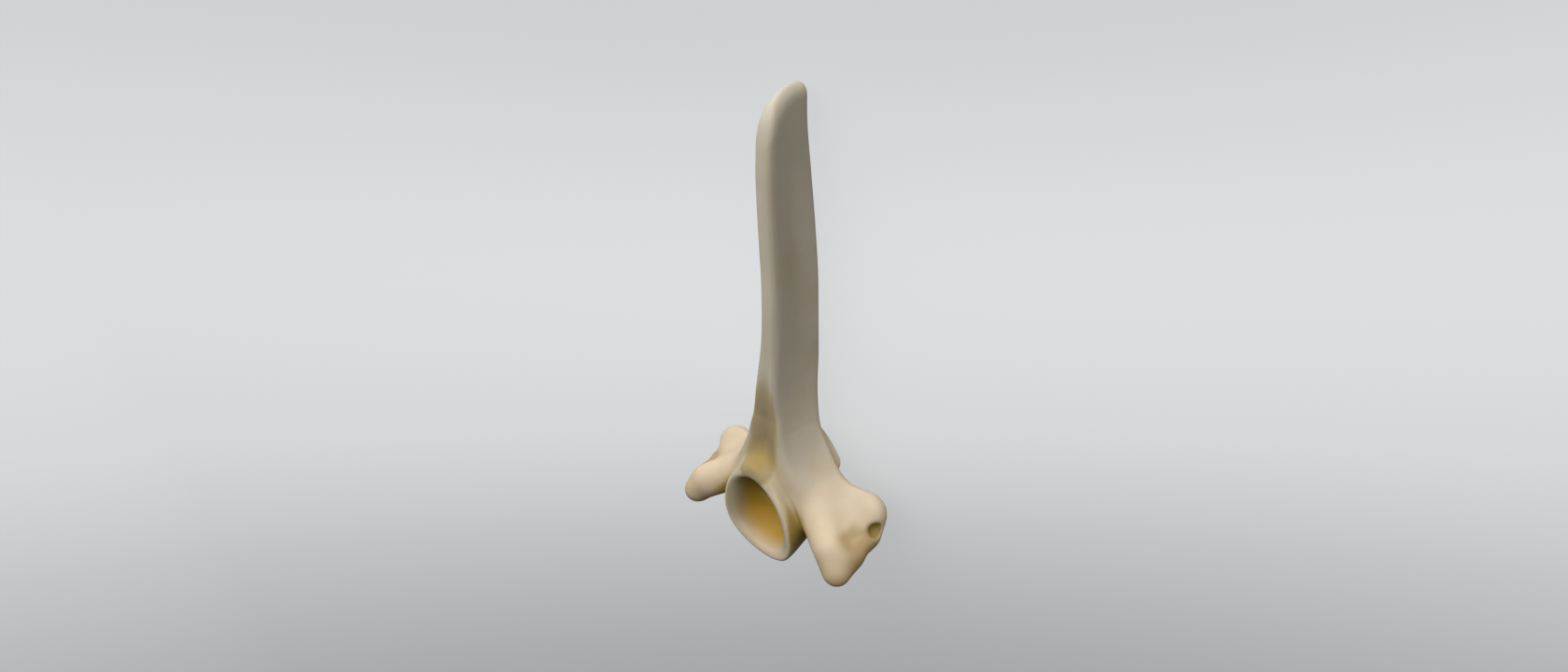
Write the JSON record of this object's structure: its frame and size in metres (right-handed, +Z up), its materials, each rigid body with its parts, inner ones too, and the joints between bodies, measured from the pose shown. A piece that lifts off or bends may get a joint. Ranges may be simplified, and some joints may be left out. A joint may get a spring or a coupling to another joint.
{
  "type": "pig thoracic vertebra bone",
  "caption": "Dry pig thoracic vertebra lying on its rear face, with a long blade-like spine, an oval hollow-ended body, an arched canal and winged transverse processes.",
  "frame": {"origin": "on the floor, under the middle of the bone's bounding box, as it lies", "axes": "+Y along the spinous process to its tip, +X to the animal's left, +Z up, to the bone's front end"},
  "size_m": [0.0618, 0.1286, 0.0294],
  "materials": {
    "bone": "dry, smooth, semi-matte bone, warm beige with greyer flanks and ochre hollows"
  },
  "bodies": {
    "root": {"vertebra": "bone"}
  },
  "joints": []
}
